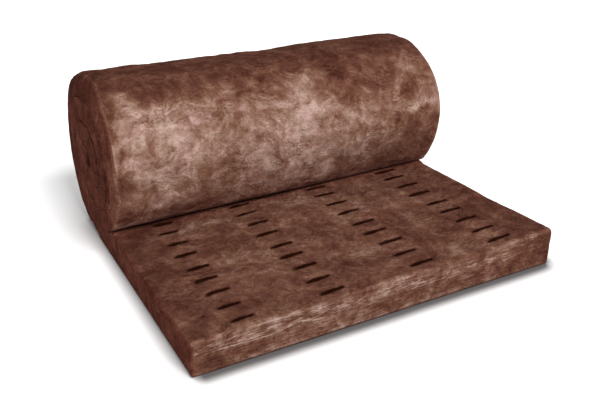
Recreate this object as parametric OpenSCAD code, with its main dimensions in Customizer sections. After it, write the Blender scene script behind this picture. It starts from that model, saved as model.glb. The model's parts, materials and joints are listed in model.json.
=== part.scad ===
// Mineral wool insulation mat, partly unrolled.
// One piece of wool: a flat stretch lies on the floor, runs under the roll, turns up behind it
// and winds inwards. X runs across the mat, which is along the roll, and Z is up.
// The cut edge faces -Y. The origin is at the bottom centre of the whole piece.
// The pressed turns are one solid with a bore, and a spiral groove marks them on both ends.

/* [Mat] */
// Width of the mat, which is the length of the roll
mat_w = 1200; // [600:10:1500]
// Thickness of the mat where it lies unrolled
mat_t = 110; // [90:1:150]
// Unrolled length, from the cut edge to the middle of the roll's foot
tail_len = 846; // [500:1:1500]
// Rounding of the top of the cut edge
cut_top_r = 9; // [3:1:40]
// Rounding of the bottom of the cut edge
cut_bottom_r = 8; // [2:1:15]

/* [Roll] */
// Radius of the outer turn where it leaves the floor
roll_r = 292.5; // [240:0.5:400]
// Thickness of one turn, pressed by the winding
turn_t = 75; // [55:1:90]
// Width of the flat that the roll's weight presses under it and over it
flat_w = 60; // [10:1:80]
// Radius of the bore
bore_r = 25; // [15:1:40]

/* [Turn marks] */
// Width of the groove between two turns, on the ends of the roll
groove_w = 6; // [3:0.5:12]
// Depth of that groove
groove_d = 18; // [5:1:40]
// Wool left between the last groove and the bore
core_wall = 6; // [3:1:15]

/* [Slits] */
// Length of one slit, across the mat
slit_len = 76; // [30:1:120]
// Width of the cut
slit_w = 11; // [5:0.5:14]
// Depth of the cut, from the top face
slit_d = 60; // [20:1:75]
// Distance between two slits of a row, along the mat
slit_pitch = 78.5; // [40:0.5:150]
// Distance from the cut edge to the middle of the first slit
slit_start = 42; // [30:1:100]
// Distance between two rows, across the mat
row_pitch = 287; // [150:1:400]
// Distance from the mat's left side to the middle of the first row
row_start = 151; // [80:1:200]
// Sideways step from one slit of a row to the next, to and fro
slit_step = 4; // [0:0.5:10]
// Wool left between a slit and the roll or the mat's side
slit_clear = 15; // [5:1:40]

/* [Hidden] */
$fn = 96;
// How far a cutting shape reaches past the face that it cuts
overcut = 1;

quarter_step = turn_t / 4;
mat_y0 = -(tail_len + flat_w / 2 + roll_r) / 2;
foot_y = mat_y0 + tail_len;

// The spiral is made of quarter circles. Each is a quarter step smaller than the one before,
// and their four centres repeat at the corners of a small square, parted by the flat.
function quarter_r(q) = roll_r - q * quarter_step;
function quarter_centre(q) =
    [foot_y + flat_w / 2, roll_r]
    + [[0, 0], [quarter_step, 0], [quarter_step - flat_w, quarter_step], [-flat_w, quarter_step]][q % 4];
function quarter_start_angle(q) = 90 * (q % 4) - 90;

bore_centre = (quarter_centre(0) + quarter_centre(1) + quarter_centre(2) + quarter_centre(3)) / 4;

// Where the front of the roll comes down on the mat's top face
crease_y = quarter_centre(3)[0]
    - sqrt(pow(quarter_r(3), 2) - pow(quarter_centre(3)[1] - mat_t, 2));

// Grooves stop where the next one would come too near the bore
last_groove = floor((roll_r - bore_r - core_wall - groove_w / 2) / quarter_step);

// As many slits and rows as the free part of the mat holds
slits_in_row = floor((crease_y - mat_y0 - slit_start - slit_w / 2 - slit_clear) / slit_pitch) + 1;
row_count = floor((mat_w - row_start - slit_len / 2 - slit_clear) / row_pitch) + 1;

// Draws a section of the mat, whose x is the row's Y and whose y is its Z, along X
module across_the_mat(width) {
    rotate([90, 0, 90]) linear_extrude(width) children();
}

module quarter_disc(q) {
    translate(quarter_centre(q)) rotate(quarter_start_angle(q)) intersection() {
        circle(quarter_r(q));
        square(quarter_r(q) + overcut);
    }
}

// The wool between the four quarter discs, from the floor to the top flat
module roll_middle() {
    floor_front = [quarter_centre(3)[0], 0];
    floor_back = [quarter_centre(0)[0], 0];
    top_back = quarter_centre(1) + [0, quarter_r(1)];
    top_front = quarter_centre(2) + [0, quarter_r(2)];
    polygon([
        floor_front, floor_back, quarter_centre(0), quarter_centre(1),
        top_back, top_front, quarter_centre(2), quarter_centre(3)
    ]);
}

// A corner to cut away, so that an edge at the origin gets a radius of r
module edge_rounding(r) {
    difference() {
        translate([-overcut, -overcut]) square(r + overcut);
        translate([r, r]) circle(r);
    }
}

module tail_section() {
    difference() {
        translate([mat_y0, 0]) square([foot_y - mat_y0, mat_t]);
        translate([mat_y0, 0]) edge_rounding(cut_bottom_r);
        translate([mat_y0, mat_t]) mirror([0, 1]) edge_rounding(cut_top_r);
    }
}

module mat_section() {
    tail_section();
    roll_middle();
    for (q = [0:3]) quarter_disc(q);
}

module groove_quarter(q) {
    translate(quarter_centre(q))
        rotate(quarter_start_angle(q))
            rotate_extrude(angle = 90)
                translate([quarter_r(q) - groove_w / 2, 0]) square([groove_w, groove_d + overcut]);
}

// The straight groove over or under the roll's middle, after quarter q
module groove_flat(q) {
    side = q % 4 == 1 ? 1 : -1;
    end = quarter_centre(q) + [0, side * quarter_r(q)];
    translate([min(end[0], end[0] - side * flat_w), end[1] - groove_w / 2])
        cube([flat_w, groove_w, groove_d + overcut]);
}

// The crease in front of the roll goes on as a groove, below the mat's top face
module crease_groove() {
    intersection() {
        groove_quarter(3);
        translate([mat_y0, 0]) cube([tail_len, mat_t, groove_d + overcut]);
    }
}

// The spiral mark on one end
module turn_marks() {
    crease_groove();
    for (q = [4:last_groove]) groove_quarter(q);
    for (q = [3:2:last_groove - 1]) groove_flat(q);
}

// Turns a drawing in the mat's section so that it cuts into the left end
module at_left_end() {
    translate([-mat_w / 2 - overcut, 0, 0]) rotate([90, 0, 90]) children();
}

module turn_marks_on_both_ends() {
    at_left_end() turn_marks();
    mirror([1, 0, 0]) at_left_end() turn_marks();
}

module core_bore() {
    translate([-mat_w / 2 - overcut, bore_centre[0], bore_centre[1]])
        rotate([0, 90, 0]) cylinder(r = bore_r, h = mat_w + 2 * overcut);
}

module slits() {
    for (row = [0:row_count - 1], k = [0:slits_in_row - 1]) {
        step = (k % 2 == 0 ? 0.5 : -0.5) * slit_step;
        translate([
            -mat_w / 2 + row_start + row * row_pitch + step - slit_len / 2,
            mat_y0 + slit_start + k * slit_pitch - slit_w / 2,
            mat_t - slit_d
        ]) cube([slit_len, slit_w, slit_d + overcut]);
    }
}

module insulation_mat() {
    color([0.36, 0.24, 0.20])
        difference() {
            translate([-mat_w / 2, 0, 0]) across_the_mat(mat_w) mat_section();
            turn_marks_on_both_ends();
            core_bore();
            slits();
        }
}

insulation_mat();
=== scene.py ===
"""Looks for the insulation roll: one brown mineral wool mat, wound up except for a flat stretch.

The wool is rebuilt as what it is: one long mat with two faces, two sides and a cut edge, swept
along the same spiral as the frame's solid. A station is a place along the mat, and at each
station a loop of points goes round it. Everything is in metres, in the frame's own axes.
"""

import json
import math

import bmesh
import bpy
import numpy as np
from mathutils import Matrix, Vector


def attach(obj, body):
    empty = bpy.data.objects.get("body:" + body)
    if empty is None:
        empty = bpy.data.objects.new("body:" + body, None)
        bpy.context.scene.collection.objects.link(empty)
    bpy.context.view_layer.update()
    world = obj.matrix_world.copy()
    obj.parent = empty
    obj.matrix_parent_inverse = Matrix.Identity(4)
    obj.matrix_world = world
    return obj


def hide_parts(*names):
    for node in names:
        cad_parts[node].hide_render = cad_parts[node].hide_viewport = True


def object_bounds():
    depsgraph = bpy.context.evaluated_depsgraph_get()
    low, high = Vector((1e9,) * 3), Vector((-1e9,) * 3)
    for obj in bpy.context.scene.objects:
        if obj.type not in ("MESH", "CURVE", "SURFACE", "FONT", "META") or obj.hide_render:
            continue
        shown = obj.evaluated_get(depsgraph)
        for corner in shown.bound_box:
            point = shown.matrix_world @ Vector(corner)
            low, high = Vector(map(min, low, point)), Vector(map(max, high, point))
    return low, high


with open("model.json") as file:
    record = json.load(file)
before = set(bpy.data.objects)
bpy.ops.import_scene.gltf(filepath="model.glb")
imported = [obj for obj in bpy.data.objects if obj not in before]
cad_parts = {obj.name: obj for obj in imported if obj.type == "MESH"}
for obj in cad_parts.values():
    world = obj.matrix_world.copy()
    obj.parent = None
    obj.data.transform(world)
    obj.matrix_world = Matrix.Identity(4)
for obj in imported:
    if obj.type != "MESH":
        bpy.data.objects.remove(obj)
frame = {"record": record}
cad_low, cad_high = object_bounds()
record = frame["record"]

# ---- Sizes -----------------------------------------------------------------------------------

TURN_T = 0.075  # one wound turn, pressed by its neighbours
FLAT_W = 0.060  # the flat that the roll's weight presses under it and over it
CUT_TOP_R = 0.009  # rounding of the cut edge
CUT_BOTTOM_R = 0.008
CUT_ANGLES = (0, 22, 42, 60)  # places on that rounding, in degrees
SIDE_R = 0.006  # rounding of the mat's two long sides
TURN_GAP = 0.0005  # half the gap left between two turns
SLIT_SPREAD = 0.002  # how much wider a slit lies open than its box
SLIT_CLEAR = 0.012  # least distance from the middle of a slit to the crease
SLIT_STEP = 0.002  # how far the slits of a row step to and fro
SLIT_STRAY = 0.002  # and how far each may stray
SLIT_OPEN = 0.94  # how open the slits nearest to the cut edge lie, as a share
SLIT_OPENING = 0.025  # and how much more open each next line of slits lies
GRID = 0.007  # size of a mesh cell where the wool is seen
HIDDEN_GRID = 0.009  # and inside the roll
SIDE_ZONE = 0.030  # how far in from the sides the hidden faces keep their cells

openings = [np.array(opening["box_m"]) for opening in record["physics"]["openings"]]
bore = next(mount for mount in record["mounts"] if mount["name"] == "core_bore")
MAT_T = max(box[1][2] for box in openings)
HALF_W = (cad_high.x - cad_low.x) / 2
ROLL_R = (cad_high.z + TURN_T / 4) / 2
CUT_Y = cad_low.y
FOOT_Y = cad_high.y - ROLL_R - FLAT_W / 2
BORE_C = np.array(bore["pos_m"][1:])
BORE_R = bore["dims"]["r_mm"] / 1000

# ---- Noise -----------------------------------------------------------------------------------


def lattice(ix, iy, iz, seed):
    """A repeatable number from -1 to 1 for each point of a whole-numbered lattice."""
    n = ix * 374761393 + iy * 668265263 + iz * 1440662683 + seed * 1274126177
    n = (n ^ (n >> 13)) & 0xFFFFFFFF
    n = (n * 1103515245 + 12345) & 0xFFFFFFFF
    n = ((n ^ (n >> 16)) * 1664525 + 1013904223) & 0xFFFFFFFF
    return (n >> 8) / 8388608.0 - 1.0


def noise(points, size, seed):
    """Smooth noise from -1 to 1 at each point, with lumps of about that size."""
    p = np.asarray(points, float) / size
    cell = np.floor(p).astype(np.int64)
    part = p - cell
    part = part * part * part * (part * (part * 6 - 15) + 10)
    total = np.zeros(len(p))
    for corner in range(8):
        step = [corner & 1, corner >> 1 & 1, corner >> 2 & 1]
        weight = np.prod(np.where(step, part, 1 - part), axis=1)
        at = cell + step
        total += weight * lattice(at[:, 0], at[:, 1], at[:, 2], seed)
    return total


def smooth(x, low, high):
    """0 below low, 1 above high, with an even slope between."""
    t = np.clip((x - low) / (high - low), 0, 1)
    return t * t * (3 - 2 * t)


# ---- The mat's path --------------------------------------------------------------------------

QUARTER_STEP = TURN_T / 4
LAST_QUARTER = 13  # the quarter turn after which the spiral reaches the bore
TIP_TAPER = 3.6  # how steeply the wool under the innermost turn runs down to the bore
QUARTER_CENTRES = np.array([
    [FOOT_Y + FLAT_W / 2, ROLL_R],
    [FOOT_Y + FLAT_W / 2 + QUARTER_STEP, ROLL_R],
    [FOOT_Y - FLAT_W / 2 + QUARTER_STEP, ROLL_R + QUARTER_STEP],
    [FOOT_Y - FLAT_W / 2, ROLL_R + QUARTER_STEP],
])


def quarter_r(q):
    """Radius of the mat's outer face in one quarter turn, counted from the floor inwards."""
    return ROLL_R - q * QUARTER_STEP


FRONT_C, FRONT_R = QUARTER_CENTRES[3], quarter_r(3)
CREASE_Y = FRONT_C[0] - math.sqrt(FRONT_R**2 - (FRONT_C[1] - MAT_T) ** 2)
CREASE_FAR = CREASE_Y - CUT_Y
FOOT_FAR = QUARTER_CENTRES[0][0] - CUT_Y
CREASE_ANGLE = math.acos((FRONT_C[1] - MAT_T) / FRONT_R)
CREASE_S = FOOT_FAR + FLAT_W - FRONT_R * CREASE_ANGLE
CREASE_S += sum(quarter_r(q) for q in range(4)) * math.pi / 2

slit_ys = sorted({round(float(box[0][1] + box[1][1]) / 2, 5) for box in openings})
slit_xs = sorted(float(box[0][0] + box[1][0]) / 2 for box in openings)
SLIT_START = slit_ys[0] - CUT_Y
SLIT_PITCH = slit_ys[1] - slit_ys[0]
SLIT_L = float(openings[0][1][0] - openings[0][0][0])
SLIT_W = float(openings[0][1][1] - openings[0][0][1]) + SLIT_SPREAD
SLIT_D = MAT_T - float(openings[0][0][2])
SLITS_IN_ROW = int((CREASE_FAR - SLIT_CLEAR - SLIT_START) / SLIT_PITCH) + 1
# How far each line of slits is out of place along the mat, and each row across it
LINE_SHIFTS = (0.003, -0.003, 0.001, 0.0, -0.007, 0.006, 0.005, 0.007, -0.006)
ROW_SHIFTS = (0.007, -0.007, 0.002, 0.011)
ROW_LENGTHS = (0.89, 0.98, 1.07, 1.13)  # as shares of the length of a slit's box
# A slit is wide near its left end and narrow towards its right one. Its left tip bends forwards.
SLIT_SHARES = (0.0, 0.08, 0.22, 0.40, 0.55, 0.70, 0.85, 0.94, 1.0)
SLIT_WIDTHS = (0.45, 0.85, 1.30, 1.28, 1.10, 0.92, 0.82, 0.92, 0.50)
SLIT_BENDS = (-0.0022, -0.0018, -0.0008, 0.0004, 0.0006, 0.0003, 0.0006, 0.0012, 0.0014)
IN_ROW = len(slit_ys)
SLIT_ROWS = [sum(slit_xs[n : n + IN_ROW]) / IN_ROW for n in range(0, len(slit_xs), IN_ROW)]


def rounding(far, r):
    """How far a rounding of radius r is from the square corner, at a distance from the cut."""
    return r - math.sqrt(r * r - (r - far) ** 2) if far < r else 0.0


def tail_station(far):
    """(s, outer point, inner point) on the flat stretch, at a distance from the cut edge."""
    y = CUT_Y + far
    ahead = min(y - FRONT_C[0], 0.0)
    top = MAT_T
    if abs(ahead) < FRONT_R:
        top = min(top, FRONT_C[1] - math.sqrt(FRONT_R**2 - ahead**2))
    return far, (y, rounding(far, CUT_BOTTOM_R)), (y, top - rounding(far, CUT_TOP_R))


def slit_far(k):
    """Distance from the cut edge to the middle of one line of slits."""
    return SLIT_START + k * SLIT_PITCH + LINE_SHIFTS[k % len(LINE_SHIFTS)]


def tail_stations():
    """The stations of the flat stretch. Each line of slits lies between two of them."""
    places = [CUT_TOP_R * (1 - math.cos(math.radians(angle))) for angle in CUT_ANGLES]
    for k in range(SLITS_IN_ROW):
        start = places[-1]
        end = slit_far(k) - SLIT_W / 2
        steps = max(1, round((end - start) / GRID))
        places += [start + (end - start) * n / steps for n in range(1, steps + 1)]
        places.append(end + SLIT_W)
    start = places[-1]
    steps = round((FOOT_FAR - start) / HIDDEN_GRID)
    places += [start + (FOOT_FAR - start) * n / steps for n in range(1, steps)]
    return [tail_station(far) for far in places]


def inner_point(q, share, outer, shift):
    """The point across the mat from an outer one. The innermost turn reaches to the bore."""
    angle = math.radians(90 * (q % 4) - 90 + 90 * share)
    way_out = np.array([math.cos(angle), math.sin(angle)])
    next_turn = QUARTER_CENTRES[q % 4] + shift + way_out * quarter_r(q + 4)
    from_bore = outer - BORE_C
    bore_wall = BORE_C + from_bore / np.linalg.norm(from_bore) * BORE_R
    if q + 4 <= LAST_QUARTER:
        return next_turn
    if q + 4 == LAST_QUARTER + 1:
        return next_turn + (bore_wall - next_turn) * min(1.0, share * TIP_TAPER)
    return bore_wall


def roll_stations():
    """The stations along the spiral, from the roll's foot inwards."""
    found = []
    s = FOOT_FAR
    for q in range(LAST_QUARTER + 1):
        r = quarter_r(q)
        centre = QUARTER_CENTRES[q % 4]
        cell = GRID if q < 4 else HIDDEN_GRID
        steps = max(6, round(r * math.pi / 2 / cell))
        for n in range(steps):
            share = n / steps
            angle = math.pi / 2 * (q % 4 - 1 + share)
            outer = centre + r * np.array([math.cos(angle), math.sin(angle)])
            inner = inner_point(q, share, outer, 0)
            found.append((s + r * math.pi / 2 * share, outer, inner))
        s += r * math.pi / 2
        if q % 2 == 1:
            side = 1 if q % 4 == 1 else -1
            steps = round(FLAT_W / cell)
            for n in range(steps):
                shift = np.array([-side * FLAT_W * n / steps, 0])
                outer = centre + np.array([0, side * r]) + shift
                inner = inner_point(q, 1, outer, shift)
                found.append((s + FLAT_W * n / steps, outer, inner))
            s += FLAT_W
    return found


stations = tail_stations() + roll_stations()
S = np.array([station[0] for station in stations])
OUTER = np.array([station[1] for station in stations])
INNER = np.array([station[2] for station in stations])
THICK = np.linalg.norm(INNER - OUTER, axis=1)
FROM_CREASE = S - CREASE_S

# ---- The mat's mesh --------------------------------------------------------------------------

COLUMNS = np.linspace(SIDE_R - HALF_W, HALF_W - SIDE_R, round(2 * (HALF_W - SIDE_R) / GRID) + 1)
LAST = len(COLUMNS) - 1
LEFT_KEPT = int(np.searchsorted(COLUMNS, SIDE_ZONE - HALF_W))
RIGHT_KEPT = LAST - LEFT_KEPT
KEPT = [*range(LEFT_KEPT + 1), *range(RIGHT_KEPT, LAST + 1)]
SIDE_STEPS = 12  # cells down one side of the mat, between its two roundings
CORNER_ANGLES = (30, 60, 90)  # places on those roundings, in degrees
SLIT_LEVELS = (0.0015, 0.005, 0.013, 0.028, 0.045, SLIT_D)  # depths of the points on its walls
OUTER_FACE, INNER_FACE, SIDE_FACE, CUT_FACE, SLIT_FACE = range(5)


class Wool:
    """The mat's points and faces while they are laid out."""

    def __init__(self):
        self.points = []
        self.places = []
        self.kinds = []
        self.faces = []
        self.rims = []

    def point(self, position, place, kind):
        """Adds a point. place is where it is in the mat: (across, along, deep)."""
        self.points.append(position)
        self.places.append(place)
        self.kinds.append(kind)
        return len(self.points) - 1

    def strip(self, line_a, line_b):
        """Joins two lines of points with a row of cells."""
        for n in range(len(line_a) - 1):
            self.faces.append((line_a[n], line_a[n + 1], line_b[n + 1], line_b[n]))


wool = Wool()


def side_profile(thick):
    """(inset, depth) of the points down one side of the mat, from its outer face inwards."""
    r = min(SIDE_R, 0.4 * thick)
    corner = []
    for angle in CORNER_ANGLES:
        turned = math.radians(angle)
        corner.append((SIDE_R - r * math.sin(turned), r * (1 - math.cos(turned))))
    flat = [(SIDE_R - r, r + (thick - 2 * r) * n / SIDE_STEPS) for n in range(1, SIDE_STEPS)]
    return corner + flat + [(inset, thick - depth) for inset, depth in reversed(corner)]


# ---- The roll's uneven ends ------------------------------------------------------------------

SIDES = (-1, 1)
CORE_PUSH = 0.004  # how far the wound turns stand out from the roll's ends
CORE_MORE = 0.003  # and how much more the innermost ones do
END_INSET = 0.001  # how far the mat's sides lie in from the solid's
END_WAVE = 0.002  # and how far they wave
RIGHT_REACH = 0.008  # how far the outer turn's right side stands out, until it comes down in front
TOP_REACH = 0.5  # and by what share more near the top of the roll's back
PARTED_MOST = np.array([-0.985, 0.17])  # the side of the roll where its turns lie most apart
PARTING_LEAST = 0.0003  # how far each turn's rim draws back from the next turn, at least
PARTING_MOST = 0.0036  # and at most
PARTING_SPAN = 0.035  # how far in from the mat's side that starts, and where it is full
PARTING_FULL = 0.004
# The rim of the roll's outer face sinks in over this width, and swells where the number is negative
EDGE_SPAN = 0.035
# (distance from the crease, how far it sinks in) on the right side
RIGHT_EDGE = (
    (-1.20, 0.005),
    (-0.84, 0.001),
    (-0.72, 0.0),
    (-0.60, 0.003),
    (-0.48, 0.006),
    (-0.30, 0.003),
    (-0.15, 0.001),
    (-0.08, -0.001),
    (-0.03, -0.006),
    (0.0, -0.003),
)
EDGE_DROP = {
    -1: 0.002 * smooth(-FROM_CREASE, 0.02, 0.2) + 0.007 * smooth(-FROM_CREASE, 0.35, 1.0),
    1: np.interp(FROM_CREASE, *zip(*RIGHT_EDGE)),
}
# How much the flat part's right edge swells over EDGE_SPAN, where the roll comes down on it
EDGE_SWELL = 0.006 * smooth(S, CREASE_FAR - 0.05, CREASE_FAR - 0.012)
EDGE_SWELL *= 1 - smooth(S, CREASE_FAR - 0.004, CREASE_FAR + 0.025)
# (distance from the crease, inset): the outer turn's left side slopes in towards its outer edge
SHOULDER_SPAN = 0.06
SHOULDER_START = FOOT_FAR + 0.1
SHOULDER = np.interp(FROM_CREASE, *zip(
    (-1.50, -0.005),
    (-1.20, -0.006),
    (-0.95, 0.004),
    (-0.78, 0.014),
    (-0.60, 0.026),
    (-0.50, 0.014),
    (-0.30, 0.008),
    (-0.03, 0.002),
    (0.00, 0.0),
))


def along_noise(size, seed, side):
    """Noise along the mat, another one on each side."""
    return noise(np.stack([S, S * 0 + side, S * 0], 1), size, seed)


def telescope(side):
    """How far the mat's side stands out from the roll's end at each station."""
    wound = smooth(FROM_CREASE, -0.25, 0.3)
    pushed_out = wound * (CORE_PUSH + CORE_MORE * smooth(FROM_CREASE, 0.6, 1.6))
    on_roll = smooth(S, FOOT_FAR, FOOT_FAR + 0.3)
    if side > 0:
        behind = smooth(FROM_CREASE, -1.0, -0.85) * (1 - smooth(FROM_CREASE, -0.7, -0.55))
        reach = 1 - smooth(FROM_CREASE, -0.34, -0.10) + TOP_REACH * behind
        pushed_out = pushed_out + RIGHT_REACH * on_roll * reach
    return pushed_out - END_INSET + END_WAVE * along_noise(0.33, 11, side) * on_roll


def opened(side):
    """How much the roll's end shows the gap between two turns at each station, from 0 to 1."""
    from_bore = (OUTER + INNER) / 2 - BORE_C
    frontness = from_bore @ PARTED_MOST / np.linalg.norm(from_bore, axis=1)
    shown = smooth(frontness, 0.45, 0.95) * (1 - 0.5 * smooth(FROM_CREASE, 0.8, 1.6))
    return np.clip(shown * (0.75 + 0.45 * along_noise(0.10, 12, side)), 0, 1)


STANDS_OUT = {side: telescope(side) for side in SIDES}
OPENED = {side: opened(side) for side in SIDES}
PARTING = {side: PARTING_LEAST + (PARTING_MOST - PARTING_LEAST) * OPENED[side] for side in SIDES}
TAIL_PARTING = smooth(S, CREASE_FAR, CREASE_FAR + 0.15)


def rounding_kept(side, contact, before, until):
    """The share of a side's rounding that is left where another turn touches the mat."""
    shown = OPENED[side]
    if side > 0:
        shown = shown * smooth(S, contact, contact + 0.3)
    return 1 - (1 - shown) * smooth(S, contact - before, contact - until)


OUTER_ROUNDING = {side: rounding_kept(side, CREASE_S, 0.12, 0.04) for side in SIDES}
INNER_ROUNDING = {side: rounding_kept(side, CREASE_FAR, 0.05, 0.01) for side in SIDES}

# ---- Laying out the mesh ---------------------------------------------------------------------


def station_point(i, x, depth, kind):
    """A point of the mat at station i, x across it and that deep below its outer face."""
    side = 1 if x > 0 else -1
    near_side = float(smooth(abs(x), HALF_W - PARTING_SPAN, HALF_W - PARTING_FULL))
    near_edge = max(0.0, 1 - (HALF_W - abs(x)) / EDGE_SPAN)
    share = depth / THICK[i]
    moved = depth
    if S[i] > CREASE_S:
        moved += near_side * PARTING[side][i] * (1 - share)
    elif S[i] > FOOT_FAR:
        moved += EDGE_DROP[side][i] * (1 - share) * near_edge**2
    elif side > 0:
        moved += EDGE_SWELL[i] * share * near_edge
    if S[i] > CREASE_FAR:
        moved -= near_side * PARTING[side][i] * share * TAIL_PARTING[i]
    y, z = OUTER[i] + (INNER[i] - OUTER[i]) * moved / THICK[i]
    pushed = x * (1 + STANDS_OUT[side][i] / HALF_W)
    if side < 0 and SHOULDER_START < S[i] < CREASE_S:
        in_span = float(smooth(abs(x), HALF_W - SHOULDER_SPAN, HALF_W))
        pushed += SHOULDER[i] * in_span * (1 - share) ** 2
    return wool.point((pushed, y, z), (x, S[i], depth), kind)


def station_loop(i, outer_full, inner_full):
    """The points round the mat at station i. A face that isn't full only has the kept columns."""
    top = TURN_GAP if S[i] > CREASE_S else 0.0
    bottom = THICK[i] - (TURN_GAP if S[i] > CREASE_FAR else 0.0)
    every = range(LAST + 1)
    outer_columns = every if outer_full else KEPT
    inner_columns = every if inner_full else KEPT
    loop = {
        "outer": {j: station_point(i, COLUMNS[j], top, OUTER_FACE) for j in outer_columns},
        "inner": {j: station_point(i, COLUMNS[j], bottom, INNER_FACE) for j in inner_columns},
        "left": [],
        "right": [],
    }
    for inset, depth in side_profile(THICK[i]):
        kept = OUTER_ROUNDING if depth < THICK[i] / 2 else INNER_ROUNDING
        depth = min(max(depth, top), bottom)
        for side, name in ((-1, "left"), (1, "right")):
            x = side * (HALF_W - inset * kept[side][i])
            loop[name].append(station_point(i, x, depth, SIDE_FACE))
    loop["left"] = [loop["outer"][0], *loop["left"], loop["inner"][0]]
    loop["right"] = [loop["outer"][LAST], *loop["right"], loop["inner"][LAST]]
    return loop


def face_row(a, b, seen, gaps):
    """The cells of one face of the mat between columns a and b of two stations."""
    for j in range(LAST):
        hidden = LEFT_KEPT <= j < RIGHT_KEPT and not seen
        if not hidden and not any(first <= j < last for first, last in gaps):
            wool.faces.append((a[j], a[j + 1], b[j + 1], b[j]))
    if not seen:
        span = range(LEFT_KEPT, RIGHT_KEPT + 1)
        from_a = [a[j] for j in span if j in a]
        from_b = [b[j] for j in reversed(span) if j in b]
        wool.faces.append((*from_a, *from_b))


def slit_gaps(k):
    """(first column, last column, middle, length, width) of the slits in one line."""
    found = []
    step = SLIT_STEP if k % 2 == 0 else -SLIT_STEP
    width = SLIT_W * (SLIT_OPEN + SLIT_OPENING * k)
    for n, row_x in enumerate(SLIT_ROWS):
        x = row_x + ROW_SHIFTS[n] + step + SLIT_STRAY * float(lattice(n, k, 0, 5))
        length = SLIT_L * ROW_LENGTHS[n]
        first = int(np.argmin(np.abs(COLUMNS - (x - length / 2))))
        last = int(np.argmin(np.abs(COLUMNS - (x + length / 2))))
        found.append((first, last, x, length, width))
    return found


WIDTH_WAVE = 0.10  # how much the width of a slit varies, as a share
RIM_SINK = 0.0010  # how far the wool sinks beside a slit
FLOOR_NARROWER = 0.5  # how much narrower a slit is at its floor, as a share
WALL_WAVE = 0.0012  # how much its walls wave
END_LEAN = 0.24  # how much its two ends lean in, as a share of the depth


def cut_slit(a, b, first, last, x, length, most):
    """Opens a slit in the inner face between two stations' columns, with walls and a floor."""
    count = last - first
    start_y, end_y = wool.points[a[first]][1], wool.points[b[first]][1]
    middle_y = (start_y + end_y) / 2
    rings = []
    for n in range(count + 1):
        share = n / count
        wave = 1 + WIDTH_WAVE * float(lattice(first + n, int(start_y * 1000), 1, 6))
        bend = float(np.interp(share, SLIT_SHARES, SLIT_BENDS))
        width = most * wave * float(np.interp(share, SLIT_SHARES, SLIT_WIDTHS))
        rings.append((x + (share - 0.5) * length, middle_y + bend, width))
    near_rim = [a[first + n] for n in range(count + 1)]
    far_rim = [b[first + n] for n in range(count + 1)]
    levels = [near_rim + far_rim[::-1]]
    for n, (at, middle, width) in enumerate(rings):
        for column, side in ((a, -1), (b, 1)):
            p = column[first + n]
            wool.points[p] = (at, middle + side * width / 2, wool.points[p][2] - RIM_SINK)
            wool.rims.append(p)
    for depth in SLIT_LEVELS:
        narrow = 1 - FLOOR_NARROWER * depth / SLIT_D
        z = MAT_T - depth
        near, far = [], []
        for n, (at, middle, width) in enumerate(rings):
            wave = WALL_WAVE * float(lattice(first + n, int(depth * 1e4), 3, 7))
            inset = at + (0.5 - n / count) * END_LEAN * depth
            for line, side in ((near, -1), (far, 1)):
                y = middle + wave + side * width * narrow / 2
                line.append(wool.point((inset, y, z), (inset, y - CUT_Y, z), SLIT_FACE))
        levels.append(near + far[::-1])
    for upper, lower in zip(levels, levels[1:]):
        wool.strip(upper + upper[:1], lower + lower[:1])
    bottom = levels[-1]
    wool.strip(bottom[: count + 1], bottom[:count:-1])


def cut_edge(loop):
    """The mat's cut end, a grid that starts and ends on the first station's loop."""
    rows = [[loop["outer"][j] for j in range(LAST + 1)]]
    height = len(loop["left"]) - 1
    for k in range(1, height):
        left, right = loop["left"][k], loop["right"][k]
        z = wool.points[left][2]
        row = [left]
        for j in range(1, LAST):
            x = COLUMNS[j]
            row.append(wool.point((x, CUT_Y, z), (x, 0.0, z), CUT_FACE))
        rows.append([*row, right])
    rows.append([loop["inner"][j] for j in range(LAST + 1)])
    for lower, upper in zip(rows, rows[1:]):
        wool.strip(lower, upper)


UNDER_CUT = 0.03  # how far in from the cut edge the underside keeps its cells
SEEN_MARGIN = 0.02  # how far past the roll's foot and the crease a face keeps its cells


def lay_out():
    """Fills in the whole mat: its two faces, two sides, slits, cut edge and inner tip."""
    middle = (S[1:] + S[:-1]) / 2
    on_roll = (middle > FOOT_FAR - SEEN_MARGIN) & (middle < CREASE_S + SEEN_MARGIN)
    outer_seen = (middle < UNDER_CUT) | on_roll
    inner_seen = middle < CREASE_FAR + SEEN_MARGIN
    outer_full = np.append(True, outer_seen) | np.append(outer_seen, False)
    inner_full = np.append(True, inner_seen) | np.append(inner_seen, False)
    loops = [station_loop(i, outer_full[i], inner_full[i]) for i in range(len(S))]
    before_slit = {}
    for k in range(SLITS_IN_ROW):
        far = slit_far(k) - SLIT_W / 2
        before_slit[int(np.argmin(np.abs(S - far)))] = k
    for i, (a, b) in enumerate(zip(loops, loops[1:])):
        gaps = slit_gaps(before_slit[i]) if i in before_slit else []
        face_row(a["outer"], b["outer"], outer_seen[i], [])
        face_row(a["inner"], b["inner"], inner_seen[i], [gap[:2] for gap in gaps])
        wool.strip(a["left"], b["left"])
        wool.strip(a["right"], b["right"])
        for gap in gaps:
            cut_slit(a["inner"], b["inner"], *gap)
    cut_edge(loops[0])
    tip = loops[-1]
    ring = [tip["outer"][j] for j in KEPT] + tip["right"][1:-1]
    ring += [tip["inner"][j] for j in reversed(KEPT)] + tip["left"][1:-1][::-1]
    wool.faces.append(tuple(ring))


def mesh_from(name, points, faces):
    """Adds an object with these points and faces to the scene."""
    mesh = bpy.data.meshes.new(name)
    mesh.from_pydata(points, [], faces)
    made = bpy.data.objects.new(name, mesh)
    bpy.context.scene.collection.objects.link(made)
    return made


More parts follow.
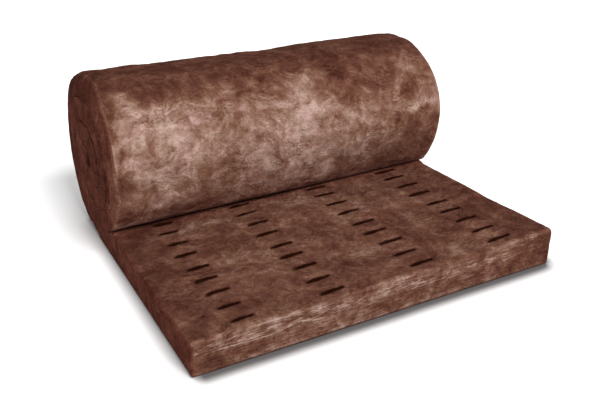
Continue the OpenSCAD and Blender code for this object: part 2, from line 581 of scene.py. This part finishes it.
def normals_of(mesh):
    """The direction of the surface at each point of the mesh."""
    flat = np.empty(len(mesh.vertices) * 3, np.float32)
    mesh.vertices.foreach_get("normal", flat)
    return flat.reshape(-1, 3)


# (distance from the crease, tone) of the roll's face, as painted light and shade: dark on top,
# where the light grazes it, pale where it leans forward into the light, palest just above the
# crease
ROLL_LIGHT_AND_SHADE = (
    (-1.50, 0.35),
    (-1.10, 0.25),
    (-0.82, 0.02),
    (-0.68, 0.02),
    (-0.58, 0.05),
    (-0.52, 0.30),
    (-0.44, 0.80),
    (-0.36, 0.97),
    (-0.30, 0.99),
    (-0.12, 1.00),
    (-0.03, 1.15),
)
# (across, along, size across, size along, strength) of paler and darker patches: mostly the wool's
# own mottling, but the pale ones on the roll just above the crease are painted light that lifts its
# shade, and the dark ones on the flat part just below the crease are painted shade. Along is from
# the crease on the roll's face, and from the cut edge on the flat one.
ROLL_PATCHES = (
    (-0.47, -0.440, 0.055, 0.050, 0.65),
    (-0.49, -0.500, 0.035, 0.030, 0.50),
    (-0.31, -0.410, 0.200, 0.030, -0.15),
    (-0.41, -0.450, 0.06, 0.04, 0.25),
    (-0.43, -0.37, 0.10, 0.06, 0.45),
    (-0.57, -0.31, 0.04, 0.05, 0.25),
    (-0.31, -0.44, 0.08, 0.05, 0.15),
    (-0.40, -0.24, 0.07, 0.05, 0.30),
    (-0.17, -0.46, 0.05, 0.02, 0.25),
    (0.05, -0.40, 0.07, 0.06, 0.38),
    (0.11, -0.43, 0.04, 0.03, 0.25),
    (0.05, -0.31, 0.08, 0.06, 0.28),
    (0.15, -0.325, 0.07, 0.04, 0.25),
    (-0.10, -0.285, 0.05, 0.04, 0.45),
    (0.09, -0.17, 0.04, 0.06, 0.40),
    (-0.04, -0.22, 0.08, 0.04, 0.35),
    (0.49, -0.48, 0.06, 0.04, 0.45),
    (0.52, -0.300, 0.055, 0.022, 1.00),
    (-0.455, -0.130, 0.016, 0.010, 0.9),
    (-0.50, -0.103, 0.022, 0.007, 0.8),
    (-0.50, -0.060, 0.030, 0.006, 0.5),
    (-0.40, -0.165, 0.035, 0.006, 0.8),
    (-0.12, -0.062, 0.080, 0.008, 0.7),
    (0.10, -0.125, 0.018, 0.007, 0.8),
    (-0.02, -0.080, 0.050, 0.015, 0.5),
    (-0.10, -0.020, 0.160, 0.020, 0.45),
    (0.055, -0.085, 0.030, 0.006, 1.1),
    (-0.15, -0.375, 0.35, 0.025, 0.20),
    (-0.05, -0.475, 0.07, 0.045, -0.60),
    (-0.22, -0.525, 0.06, 0.020, -0.35),
    (-0.10, -0.430, 0.05, 0.03, -0.20),
    (-0.33, -0.395, 0.03, 0.03, -0.20),
    (0.24, -0.43, 0.08, 0.05, -0.50),
    (0.38, -0.42, 0.07, 0.05, -0.35),
    (0.49, -0.375, 0.05, 0.03, -1.10),
    (-0.135, -0.428, 0.065, 0.007, -0.55),
    (-0.13, -0.370, 0.060, 0.012, -0.25),
    (-0.545, -0.350, 0.020, 0.012, -0.60),
    (-0.52, -0.300, 0.020, 0.012, -0.50),
    (-0.47, -0.335, 0.020, 0.010, -0.35),
    (0.215, -0.500, 0.020, 0.014, -0.40),
    (0.49, -0.27, 0.05, 0.06, -0.80),
    (0.41, -0.28, 0.05, 0.05, -0.35),
    (0.45, -0.15, 0.12, 0.08, -0.50),
    (0.57, -0.22, 0.03, 0.03, -0.40),
    (0.20, -0.52, 0.04, 0.03, -0.25),
    (-0.49, -0.530, 0.06, 0.020, 0.30),
    (-0.35, -0.320, 0.10, 0.03, 0.25),
    (-0.26, -0.44, 0.04, 0.04, 0.20),
    (0.26, -0.475, 0.03, 0.02, -0.25),
    (0.54, -0.42, 0.06, 0.04, -0.28),
    (0.57, -0.16, 0.04, 0.07, -0.45),
    (0.57, -0.62, 0.03, 0.05, -0.30),
    (-0.11, -0.20, 0.03, 0.04, -0.18),
    (-0.57, -0.46, 0.035, 0.06, -0.50),
    (-0.57, -0.275, 0.045, 0.035, -1.40),
    (-0.57, -0.12, 0.05, 0.08, -0.65),
    (-0.45, -0.10, 0.15, 0.03, -0.40),
    (-0.30, -0.075, 0.14, 0.02, -0.30),
    (-0.15, -0.33, 0.06, 0.02, -0.20),
    (-0.26, -0.225, 0.05, 0.04, -0.35),
    (-0.19, -0.16, 0.06, 0.04, -0.35),
    (0.26, -0.075, 0.06, 0.03, -0.30),
)
FLAT_PATCHES = (
    (-0.37, 0.32, 0.07, 0.04, 0.45),
    (-0.23, 0.22, 0.07, 0.07, 0.20),
    (-0.11, 0.42, 0.05, 0.04, 0.25),
    (-0.33, 0.57, 0.10, 0.015, 0.45),
    (-0.26, 0.54, 0.04, 0.04, 0.20),
    (-0.02, 0.56, 0.05, 0.04, 0.30),
    (0.10, 0.50, 0.07, 0.08, 0.30),
    (0.11, 0.37, 0.04, 0.03, 0.30),
    (0.05, 0.20, 0.06, 0.05, 0.20),
    (0.33, 0.06, 0.08, 0.04, 0.30),
    (0.34, 0.25, 0.03, 0.06, 0.20),
    (0.37, 0.38, 0.06, 0.05, 0.20),
    (-0.05, 0.15, 0.05, 0.06, -0.30),
    (-0.57, 0.15, 0.04, 0.05, -0.25),
    (-0.56, 0.48, 0.06, 0.16, -0.30),
    (-0.56, 0.62, 0.06, 0.06, -0.25),
    (-0.34, 0.65, 0.05, 0.04, -0.35),
    (-0.50, 0.67, 0.10, 0.03, -0.45),
    (0.14, 0.66, 0.06, 0.03, -0.30),
    (0.22, 0.62, 0.06, 0.04, -0.15),
    (0.45, 0.27, 0.07, 0.04, -0.35),
    (0.50, 0.22, 0.06, 0.04, -0.20),
    (0.34, 0.125, 0.05, 0.02, -0.35),
    (0.22, 0.15, 0.06, 0.04, -0.15),
    (0.34, 0.62, 0.04, 0.03, -0.25),
    (0.55, 0.00, 0.05, 0.03, -0.50),
)
# The same on the cut edge, where the second number is the height
CUT_PATCHES = (
    (-0.31, 0.103, 0.06, 0.018, -0.75),
    (-0.57, 0.070, 0.04, 0.015, 0.45),
    (-0.41, 0.070, 0.05, 0.012, 0.40),
    (-0.10, 0.080, 0.16, 0.020, 0.30),
    (0.20, 0.078, 0.10, 0.015, 0.25),
    (0.34, 0.108, 0.05, 0.010, 0.35),
    (0.54, 0.103, 0.06, 0.020, -0.80),
    (-0.18, 0.030, 0.08, 0.030, 0.40),
)
FLAT_TONE = 0.26  # the mean tone of the flat part, of the cut edge and of the sides
CUT_TONE = 0.44
SIDE_TONE = 0.02
RIM_TONE = 0.5  # how much paler the rims of the roll's face are
LIP_SPAN = 0.012  # how far the torn lip of the cut edge reaches over the flat part
SLIT_LIP_SHADE = 0.35  # how much painted shade lies on the wool right beside a slit
CREASE_SHADE_STRENGTH = 0.25  # and the painted shade right beside the crease, over its width
CREASE_SHADE = (0.004, 0.020)
GAP_SHADE = 0.010  # how far the shade in the gap between two turns reaches over their sides
THICKER_RIGHT = 0.086  # the mat is thicker by this share at its right side, thinner at its left
CORNER_LIFT = 0.05  # and thicker still by this share at its front right corner
LOWER_RIGHT = 0.022  # the roll is lower by this share at its right end, higher at its left
TOP_DIP = 0.009  # and lower by this share right of its middle
CREASE_RISE = 0.005  # how far the wool swells up along the crease, except at its right end


def patches(across, along, listed):
    """How much paler or darker the listed patches make each point."""
    total = np.zeros(len(across))
    for x, s, size_x, size_s, strength in listed:
        far = ((across - x) / size_x) ** 2 + ((along - s) / size_s) ** 2
        total += strength * np.exp(-far)
    return total


def seen_on_roll(along):
    """Which points lie on the roll's outer turn, from its upper back to the crease in front."""
    return (along > FOOT_FAR + 0.5) & (along < CREASE_S)


def distance_to_crease(along, kind):
    """How far each point is from the crease, along the flat part or along the roll's face."""
    return np.where(kind == INNER_FACE, CREASE_FAR, CREASE_S) - along


def tone_and_light_field(place, kind):
    """How much paler or darker than its mean the wool is at each point: its own tone in soft
    patches, with painted light and shade on the roll's face and near the crease.
    """
    spread = place + 0.035 * np.stack([noise(place, 0.11, 21), noise(place, 0.11, 22), 0 * kind], 1)
    spread += 0.012 * np.stack([noise(place, 0.03, 23), noise(place, 0.03, 24), 0 * kind], 1)
    across, along, depth = spread.T
    from_crease = along - CREASE_S
    from_side = HALF_W - np.abs(place[:, 0])
    # The roll's face gets its painted light and shade here, from its tone by distance to the crease
    roll = patches(across, from_crease, ROLL_PATCHES) + np.interp(from_crease, *zip(*ROLL_LIGHT_AND_SHADE))
    rim = (1 - smooth(from_side, 0.002, 0.010)) * (1 - smooth(place[:, 2], 0.002, 0.008))
    rim *= seen_on_roll(place[:, 1])
    roll += RIM_TONE * rim
    # The last rise towards the crease is painted light that lifts the shade there
    flat = FLAT_TONE + patches(across, along, FLAT_PATCHES) + 0.25 * smooth(along, 0.5, 0.68)
    flat += 0.18 * (1 - smooth(np.abs(across), 0.36, 0.5))
    lip = 0.22 * smooth(depth, 0.05, 0.08) + 0.30 * smooth(depth, 0.08, 0.1)
    lip *= 1 - smooth(along, 0.0, LIP_SPAN)
    cut = CUT_TONE + lip - 0.3 * smooth(across, 0.36, 0.5) - 0.25 * smooth(-across, 0.44, 0.56)
    # Paler within 30 mm of the floor: painted light that lifts the shade at the cut edge's foot
    cut += patches(across, depth, CUT_PATCHES) + 0.4 * (1 - smooth(depth, 0.006, 0.03))
    pale = np.where(kind == INNER_FACE, flat + lip, roll)
    turned_up = smooth(from_crease, -0.45, -0.2) * (1 - smooth(from_crease, -0.06, 0.0))
    over_top = smooth(-from_crease, 0.45, 0.6) * (from_crease > -0.9)
    end = SIDE_TONE + 0.35 * rim + 0.35 * turned_up - 0.3 * over_top
    pale = np.where(kind == SIDE_FACE, end, pale)
    return np.where(kind == CUT_FACE, cut, pale)


def painted_shade_field(place, kind):
    """How much painted shade darkens each point, from 0 to 1: in a slit, in the gap between two
    turns, by the crease and right beside a slit.
    """
    across, along, depth = place.T
    thick = np.interp(along, S, THICK)
    next_turn = np.where(along > CREASE_FAR, thick - depth, 1.0)
    last_turn = np.where(along > CREASE_S, depth, 1.0)
    left, right = np.interp(along, S, PARTING[-1]), np.interp(along, S, PARTING[1])
    parted = np.clip(np.where(across > 0, right, left) / PARTING_MOST, 0, 1)
    gap = 1 - smooth(np.minimum(next_turn, last_turn), 0.0, GAP_SHADE)
    gap *= (0.04 + 0.42 * parted) * (1 - 0.4 * smooth(along - CREASE_S, 0.0, 0.9))
    slit = smooth(MAT_T - depth, 0.0, SLIT_LEVELS[0])
    painted_shade = np.where(kind == SLIT_FACE, slit, gap)
    to_crease = distance_to_crease(along, kind)
    near_crease = (kind <= INNER_FACE) & (to_crease > 0)
    painted_shade += CREASE_SHADE_STRENGTH * near_crease * (1 - smooth(to_crease, *CREASE_SHADE))
    painted_shade[wool.rims] = SLIT_LIP_SHADE
    return painted_shade


def torn_field(place, kind):
    """How much the mat's layers show as torn pale lines, from 0 to 1."""
    across, along, depth = place.T
    upper = smooth(depth, 0.045, 0.066) * (0.5 + 0.5 * smooth(-across, -0.55, 0.1))
    upper *= 0.75 + 0.25 * noise(place, 0.09, 31)
    lip = 1 - smooth(along, 0.0, LIP_SPAN)
    torn = np.where(kind == CUT_FACE, 0.15 + 0.85 * upper, 0.0)
    torn = np.where((kind == INNER_FACE) & (along < 0.03), 0.8 * lip, torn)
    return np.where(kind == SIDE_FACE, 0.15, torn)


def shade_red_field(place, kind):
    """How much redder the wool is, as painted shade: on its sides, and where the roll comes down on
    the flat part.
    """
    along = place[:, 1]
    by_rim = 0.1 + 0.9 * smooth(place[:, 2], 0.002, 0.014)
    side = np.where(seen_on_roll(along), by_rim, 1.0)
    reach = np.where(kind == INNER_FACE, 0.10, 0.22)
    near_crease = 1 - smooth(distance_to_crease(along, kind) / reach, 0.1, 1.0)
    return np.where(kind == SIDE_FACE, side, 0.9 * near_crease)


def store(mesh, name, values):
    """Keeps one number or vector for each point of the mesh, for its material to read."""
    kind, key = ("FLOAT", "value") if values.ndim == 1 else ("FLOAT_VECTOR", "vector")
    attribute = mesh.attributes.new(name, kind, "POINT")
    attribute.data.foreach_set(key, values.astype(np.float32).ravel())


def uneven(points):
    """The mat is thicker towards the right, and the roll a little lower there."""
    x, y, z = points.T
    across = x / HALF_W
    thicker = 1 + THICKER_RIGHT * across
    thicker += CORNER_LIFT * smooth(across, 0.5, 1.0) * (1 - smooth(y, CUT_Y, CUT_Y + 0.3))
    right_of_middle = np.exp(-(((across - 0.2) / 0.35) ** 2))
    higher = 1 - LOWER_RIGHT * across - TOP_DIP * right_of_middle
    z = np.where(z < MAT_T, z * thicker, MAT_T * thicker + (z - MAT_T) * higher)
    near_crease = smooth(y, CREASE_Y - 0.07, CREASE_Y) * (1 - smooth(z, MAT_T, MAT_T + 0.16))
    z += CREASE_RISE * near_crease * smooth(-across, -0.35, 0.5) * smooth(z, 0.0, MAT_T)
    return np.stack([x, y, z], 1)


def make_mat():
    """The whole mat as one closed mesh, with lumps, and where in the mat each point is."""
    lay_out()
    made = mesh_from("wool_mat", wool.points, wool.faces)
    mesh = made.data
    shape = bmesh.new()
    shape.from_mesh(mesh)
    bmesh.ops.recalc_face_normals(shape, faces=shape.faces)
    shape.to_mesh(mesh)
    shape.free()
    place, kind, points = np.array(wool.places), np.array(wool.kinds), np.array(wool.points)
    normal = normals_of(mesh)
    # Each layer of lumps has its height, size and seed. The largest are longer across the mat.
    lumps = 0.0050 * noise(points * [0.75, 1, 1], 0.17, 1) + 0.0026 * noise(points, 0.07, 2)
    lumps += 0.0013 * noise(points, 0.028, 3) + 0.0008 * noise(points, 0.013, 4)
    # Lumps grow from the crease and from the floor, and are lower on the sides and in the slits
    free = smooth(distance_to_crease(place[:, 1], kind), 0.0, 0.06)
    free = np.where((kind == SIDE_FACE) | (kind == CUT_FACE), 0.5, free)
    free = np.where(kind == SLIT_FACE, 0.15, free) * smooth(points[:, 2], 0.0, 0.03)
    points = points + normal * (lumps * free)[:, None]
    points = uneven(points)
    points[:, 2] = np.maximum(points[:, 2], 0.0)
    mesh.vertices.foreach_set("co", points.astype(np.float32).ravel())
    store(mesh, "place", place)
    store(mesh, "pale", tone_and_light_field(place, kind))
    store(mesh, "painted_shade", painted_shade_field(place, kind))
    store(mesh, "torn", torn_field(place, kind))
    store(mesh, "shade_red", shade_red_field(place, kind))
    store(mesh, "cut", (kind == CUT_FACE) * 1.0)
    mesh.shade_smooth()
    mesh.update()
    return made


# ---- Materials -------------------------------------------------------------------------------


class Nodes:
    """Short ways to add nodes to one material. A value may be a number, a tuple or a socket."""

    def __init__(self, name):
        self.material = bpy.data.materials.new(name)
        self.material.use_nodes = True
        self.tree = self.material.node_tree
        self.shader = self.tree.nodes["Principled BSDF"]

    def feed(self, socket, value):
        if isinstance(value, bpy.types.NodeSocket):
            self.tree.links.new(value, socket)
        elif value is not None:
            socket.default_value = value

    def add(self, kind, out=0, values=(), **settings):
        node = self.tree.nodes.new(kind)
        for key, value in settings.items():
            setattr(node, key, value)
        for socket, value in values:
            self.feed(node.inputs[socket], value)
        return node.outputs[out]

    def attribute(self, name, out):
        return self.add("ShaderNodeAttribute", out, attribute_name=name)

    def math(self, operation, a, b=None, c=None):
        return self.add("ShaderNodeMath", 0, ((0, a), (1, b), (2, c)), operation=operation)

    def vector(self, operation, a, b=None):
        key = "Scale" if operation == "SCALE" else 1
        return self.add("ShaderNodeVectorMath", 0, ((0, a), (key, b)), operation=operation)

    def noise(self, vector, scale, detail=3.0, rough=0.5, warp=0.0, out="Fac"):
        values = (("Vector", vector), ("Scale", scale), ("Detail", detail), ("Roughness", rough),
                  ("Distortion", warp))
        return self.add("ShaderNodeTexNoise", out, values)

    def spread(self, value, low, high, to_low=0.0, to_high=1.0):
        values = ((0, value), (1, low), (2, high), (3, to_low), (4, to_high))
        return self.add("ShaderNodeMapRange", 0, values)

    def blend(self, share, a, b, blend_type="MIX"):
        values = ((0, share), (6, a), (7, b))
        settings = {"data_type": "RGBA", "blend_type": blend_type}
        return self.add("ShaderNodeMix", 2, values, **settings)

    def ramp(self, value, stops):
        node = self.tree.nodes.new("ShaderNodeValToRGB")
        self.feed(node.inputs[0], value)
        elements = node.color_ramp.elements
        while len(elements) < len(stops):
            elements.new(0.5)
        for element, (position, colour) in zip(elements, stops):
            element.position = position
            element.color = (*colour, 1)
        return node.outputs[0]


# (level, colour) of the wool, where the levels go up to LEVEL_MOST
WOOL_COLOURS = (
    (0.00, (0.024, 0.006, 0.002)),
    (0.20, (0.045, 0.015, 0.008)),
    (0.40, (0.085, 0.032, 0.022)),
    (0.55, (0.125, 0.055, 0.038)),
    (0.70, (0.180, 0.094, 0.066)),
    (0.85, (0.268, 0.170, 0.138)),
    (1.00, (0.380, 0.267, 0.230)),
    (1.25, (0.500, 0.380, 0.340)),
)
LEVEL_MOST = 1.25
# What those colours are multiplied by: mauve and khaki in patches, and a redder tint as painted
# shade on the sides and near the crease
MAUVE = (1.0, 0.975, 1.0, 1)
KHAKI = (1.0, 1.03, 0.98, 1)
SHADE_RED = (1.13, 0.92, 0.90, 1)

# (how open to the sky the floor is, its colour) of the floor's painted shadow: in general, and to
# the left of the mat
FLOOR_SHADOW_COLOURS = (
    (0.66, (0.17, 0.165, 0.165)),
    (0.985, (0.94, 0.94, 0.94)),
)
BESIDE_SHADOW_COLOURS = (
    (0.50, (0.74, 0.74, 0.745)),
    (0.985, (0.94, 0.94, 0.94)),
)


def lines(nodes, vector, stretch, seed, width, warp=0.9):
    """Thin wandering lines, 1 along their middle and 0 beside them."""
    moved = nodes.vector("ADD", nodes.vector("MULTIPLY", vector, stretch), (seed, seed, seed))
    level = nodes.noise(moved, 1.0, 3.0, 0.55, warp)
    ridge = nodes.math("ABSOLUTE", nodes.math("SUBTRACT", level, 0.5))
    return nodes.spread(ridge, 0.0, width, 1.0, 0.0)


SEAM_WANDER = 0.07  # how far a seam wanders up and down in all, and frays
SEAM_FRAY = 0.018
SEAM_WIDTHS = (0.0006, 0.0034)  # from its middle to where it starts to fade and where it ends


def seam(nodes, place, height, seed):
    """A thin ragged line along the cut edge, that wanders up and down and comes and goes."""
    split = nodes.tree.nodes.new("ShaderNodeSeparateXYZ")
    nodes.feed(split.inputs[0], place)
    across = nodes.vector("ADD", nodes.vector("MULTIPLY", place, (1, 0, 0)), (0, seed, 0))
    lowest = height - SEAM_WANDER / 2 - SEAM_FRAY / 2
    wander = nodes.math("MULTIPLY_ADD", nodes.noise(across, 4.0, 1.0), SEAM_WANDER, lowest)
    fray = nodes.noise(across, 32.0, 4.0, 0.65)
    level = nodes.math("MULTIPLY_ADD", fray, SEAM_FRAY, wander)
    away = nodes.math("ABSOLUTE", nodes.math("SUBTRACT", split.outputs[2], level))
    shown = nodes.spread(nodes.noise(across, 13.0, 2.0), 0.42, 0.58)
    return nodes.math("MULTIPLY", nodes.spread(away, *SEAM_WIDTHS, 1.0, 0.0), shown)


def wool_material():
    """Matted mineral wool: brown, with paler clouds and wisps, darker crinkles and torn layers. The
    mesh adds painted light and shade, and a redder tint where shade is painted.
    """
    nodes = Nodes("mineral_wool")
    place = nodes.attribute("place", "Vector")
    pale = nodes.attribute("pale", "Fac")
    painted_shade = nodes.attribute("painted_shade", "Fac")
    torn = nodes.attribute("torn", "Fac")
    shade_red = nodes.attribute("shade_red", "Fac")
    cut = nodes.attribute("cut", "Fac")
    push = nodes.vector("SUBTRACT", nodes.noise(place, 8.0, 3.0, out="Color"), (0.5, 0.5, 0.5))
    swirled = nodes.vector("ADD", place, nodes.vector("SCALE", push, 0.10))

    broad = nodes.spread(nodes.noise(swirled, 8.0, 3.0, 0.55), 0.35, 0.65, -1, 1)
    clouds = nodes.spread(nodes.noise(swirled, 24.0, 5.0, 0.6), 0.30, 0.70, -1, 1)
    clumps = nodes.spread(nodes.noise(swirled, 62.0, 3.0, 0.6), 0.32, 0.68, -1, 1)
    specks = nodes.spread(nodes.noise(place, 150.0, 3.0, 0.65), 0.35, 0.65, -1, 1)
    here = nodes.spread(nodes.noise(place, 11.0, 3.0, 0.6), 0.48, 0.62)
    crinkles = nodes.math("MULTIPLY", lines(nodes, swirled, (12, 38, 38), 3.0, 0.045), here)
    elsewhere = nodes.spread(nodes.noise(place, 9.0, 2.0, 0.6), 0.55, 0.40)
    wisps = nodes.math("MULTIPLY", lines(nodes, swirled, (16, 24, 40), 7.0, 0.05), elsewhere)
    layers = lines(nodes, place, (6, 6, 62), 5.0, 0.055, 1.6)
    seams = nodes.math("ADD", seam(nodes, place, 0.092, 2.0), seam(nodes, place, 0.066, 9.0))
    seams = nodes.math("ADD", seams, seam(nodes, place, 0.079, 15.0))
    stretched = nodes.vector("MULTIPLY", place, (20, 20, 200))
    grain = nodes.spread(nodes.noise(stretched, 1.0, 4.0, 0.6), 0.35, 0.65, -1, 1)

    level = nodes.math("MULTIPLY_ADD", broad, 0.08, 0.43)
    level = nodes.math("MULTIPLY_ADD", clouds, 0.14, level)
    level = nodes.math("MULTIPLY_ADD", clumps, 0.07, level)
    level = nodes.math("MULTIPLY_ADD", specks, 0.048, level)
    level = nodes.math("MULTIPLY_ADD", crinkles, -0.16, level)
    level = nodes.math("MULTIPLY_ADD", wisps, 0.10, level)
    torn_layers = nodes.math("MULTIPLY", nodes.math("MULTIPLY_ADD", grain, 0.35, layers), torn)
    level = nodes.math("MULTIPLY_ADD", torn_layers, 0.20, level)
    torn_seams = nodes.math("MULTIPLY", seams, torn)
    level = nodes.math("MULTIPLY_ADD", torn_seams, 0.26, level)
    streaks = nodes.math("MULTIPLY", grain, cut)
    level = nodes.math("MULTIPLY_ADD", streaks, 0.09, level)
    # Paler or darker tone, which holds painted light and shade as well as the wool's own tone
    level = nodes.math("MULTIPLY_ADD", pale, 0.35, level)
    # Painted shade: darker in the slits, in the gaps between turns, by the crease and beside the
    # slits
    level = nodes.math("MULTIPLY_ADD", painted_shade, -0.6, level)
    hue = nodes.spread(nodes.noise(place, 20.0, 3.0, 0.6), 0.36, 0.64)
    # Redder where shade is painted, over the mauve and khaki patches
    tint = nodes.blend(shade_red, nodes.blend(hue, MAUVE, KHAKI), SHADE_RED)
    stops = [(stop / LEVEL_MOST, colour) for stop, colour in WOOL_COLOURS]
    browns = nodes.ramp(nodes.math("DIVIDE", level, LEVEL_MOST), stops)
    nodes.feed(nodes.shader.inputs["Base Color"], nodes.blend(1.0, browns, tint, "MULTIPLY"))

    height = nodes.math("MULTIPLY_ADD", clouds, 0.4, nodes.math("MULTIPLY", clumps, 0.35))
    height = nodes.math("MULTIPLY_ADD", specks, 0.25, height)
    height = nodes.math("MULTIPLY_ADD", crinkles, -0.7, height)
    height = nodes.math("MULTIPLY_ADD", torn_layers, 0.9, height)
    height = nodes.math("MULTIPLY_ADD", torn_seams, 1.2, height)
    height = nodes.math("MULTIPLY_ADD", streaks, 0.5, height)
    values = (("Strength", 0.6), ("Distance", 0.004), ("Height", height))
    nodes.feed(nodes.shader.inputs["Normal"], nodes.add("ShaderNodeBump", 0, values))
    nodes.shader.inputs["Roughness"].default_value = 0.95
    nodes.shader.inputs["Specular IOR Level"].default_value = 0.01
    nodes.shader.inputs["Sheen Weight"].default_value = 0.03
    nodes.shader.inputs["Sheen Roughness"].default_value = 0.6
    nodes.shader.inputs["Sheen Tint"].default_value = (1.0, 0.60, 0.48, 1)
    return nodes.material


SHADE_REACH = 0.055  # how far from the mat the painted shadow on the floor reaches


def floor_material():
    """White, with a painted shadow that is greyer close to what stands on it."""
    nodes = Nodes("pale_floor")
    split = nodes.tree.nodes.new("ShaderNodeSeparateXYZ")
    nodes.feed(split.inputs[0], nodes.add("ShaderNodeTexCoord", 3))
    beside = nodes.spread(split.outputs[0], 0.03 - HALF_W, -0.005 - HALF_W)
    near = nodes.add("ShaderNodeAmbientOcclusion", 1, (("Distance", SHADE_REACH),), samples=16)
    shadow_greys = nodes.ramp(near, FLOOR_SHADOW_COLOURS), nodes.ramp(near, BESIDE_SHADOW_COLOURS)
    nodes.feed(nodes.shader.inputs["Base Color"], nodes.blend(beside, *shadow_greys))
    nodes.shader.inputs["Roughness"].default_value = 0.9
    nodes.shader.inputs["Specular IOR Level"].default_value = 0.0
    return nodes.material


# ---- Camera, light and floor -----------------------------------------------------------------

# In front of the frame's front left corner and to the left of it
CAMERA_PLACE = Vector((cad_low.x - 0.4777, cad_low.y - 1.4629, 1.1770))
CAMERA_TURN = math.radians(28.3)  # from +Y towards +X
CAMERA_DIP = math.radians(24.45)
CAMERA_TILT = math.radians(-0.44)
CAMERA_LENS = 44.96
CAMERA_SENSOR = 36


def make_camera():
    """The camera that sees the mat from the front left and from above."""
    data = bpy.data.cameras.new("camera")
    data.lens = CAMERA_LENS
    data.sensor_width = CAMERA_SENSOR
    made = bpy.data.objects.new("camera", data)
    ahead = Vector((
        math.sin(CAMERA_TURN) * math.cos(CAMERA_DIP),
        math.cos(CAMERA_TURN) * math.cos(CAMERA_DIP),
        -math.sin(CAMERA_DIP),
    ))
    level = Vector((math.cos(CAMERA_TURN), -math.sin(CAMERA_TURN), 0))
    upright = level.cross(ahead)
    right = level * math.cos(CAMERA_TILT) + upright * math.sin(CAMERA_TILT)
    up = upright * math.cos(CAMERA_TILT) - level * math.sin(CAMERA_TILT)
    turn = Matrix((right, up, -ahead)).transposed().to_4x4()
    made.matrix_world = Matrix.Translation(CAMERA_PLACE) @ turn
    bpy.context.scene.collection.objects.link(made)
    bpy.context.scene.camera = made
    return made


SUN_HEIGHT = math.radians(42)
SUN_TURN = math.radians(8)  # from -Y towards +X
SUN_SPREAD = math.radians(22)
SUN_POWER = 2.5
SUN_DISTANCE = 4  # where the lamp stands, which doesn't change its light
SKY_POWER = 0.6
FLOOR_REACH = 14
# This pair keeps the lights and makes the browns darker and redder
VIEW_EXPOSURE = 0.3
VIEW_GAMMA = 0.85


def make_sun():
    """A broad soft sun from the front."""
    data = bpy.data.lights.new("sun", "SUN")
    data.energy = SUN_POWER
    data.angle = SUN_SPREAD
    made = bpy.data.objects.new("sun", data)
    towards = Vector((
        math.sin(SUN_TURN) * math.cos(SUN_HEIGHT),
        -math.cos(SUN_TURN) * math.cos(SUN_HEIGHT),
        math.sin(SUN_HEIGHT),
    ))
    made.location = SUN_DISTANCE * towards
    made.rotation_mode = "QUATERNION"
    made.rotation_quaternion = towards.to_track_quat("Z", "Y")
    bpy.context.scene.collection.objects.link(made)


def make_studio():
    """A white sky, the sun, and a pale floor."""
    world = bpy.data.worlds.new("studio")
    world.use_nodes = True
    background = world.node_tree.nodes["Background"]
    background.inputs["Color"].default_value = (1, 1, 1, 1)
    background.inputs["Strength"].default_value = SKY_POWER
    bpy.context.scene.world = world
    view = bpy.context.scene.view_settings
    view.view_transform = "Standard"
    view.exposure = VIEW_EXPOSURE
    view.gamma = VIEW_GAMMA
    make_sun()
    ways = [(-1, -1), (1, -1), (1, 1), (-1, 1)]
    corners = [(x * FLOOR_REACH, y * FLOOR_REACH, 0) for x, y in ways]
    floor = mesh_from("floor", corners, [(0, 1, 2, 3)])
    floor.data.materials.append(floor_material())


# ---- Putting it together ---------------------------------------------------------------------

wool_mat = make_mat()
wool_mat.data.materials.append(wool_material())
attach(wool_mat, "root")
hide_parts("insulation_mat")
make_camera()
make_studio()
